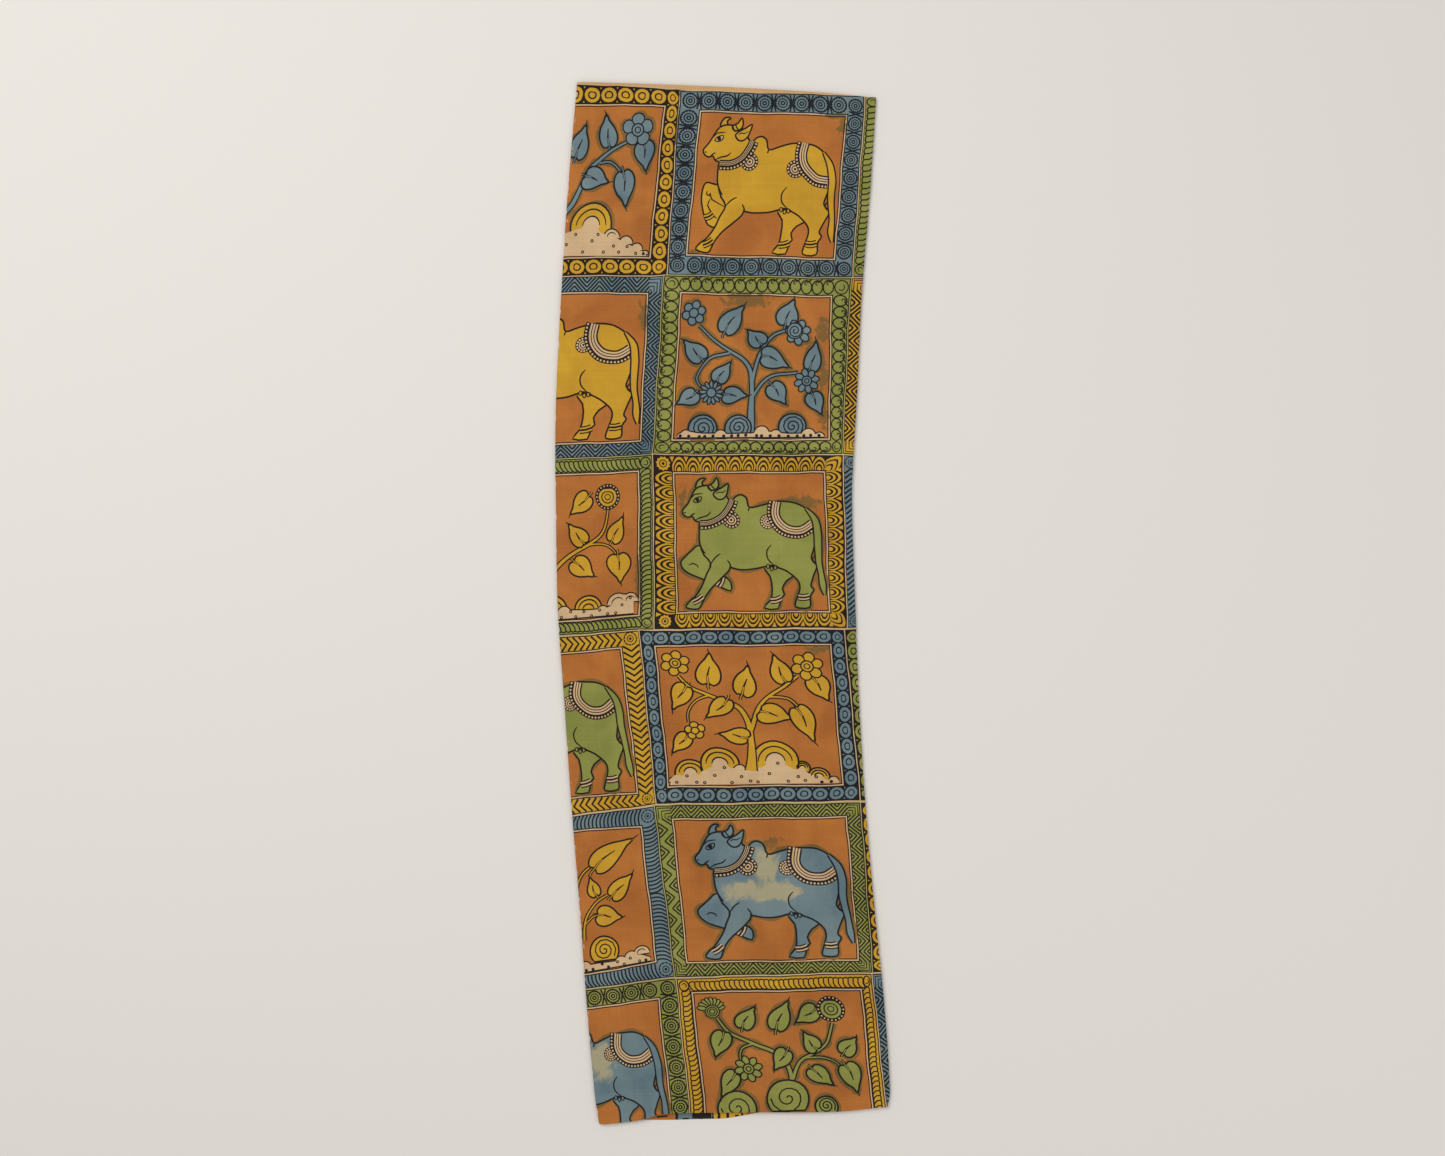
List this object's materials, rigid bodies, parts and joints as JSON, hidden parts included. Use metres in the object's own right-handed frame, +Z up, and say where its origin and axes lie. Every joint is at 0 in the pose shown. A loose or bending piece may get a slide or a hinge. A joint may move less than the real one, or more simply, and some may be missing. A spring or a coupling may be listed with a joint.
{
  "type": "folded kalamkari cloth",
  "caption": "Printed cotton kalamkari panel, folded in three along its length and laid flat, with a grid of bordered picture squares.",
  "frame": {"origin": "centre of the folded cloth's bounding box, on the surface it rests on", "axes": "+X across the folded strip towards the fold that joins the top and middle layers, +Y along the folds towards the upper selvedge, +Z up"},
  "size_m": [0.3653, 1.1369, 0.0061],
  "materials": {
    "dyed_cotton": "matt plain-weave cotton, dyed and printed"
  },
  "bodies": {
    "root": {"cloth": "dyed_cotton"}
  },
  "joints": []
}
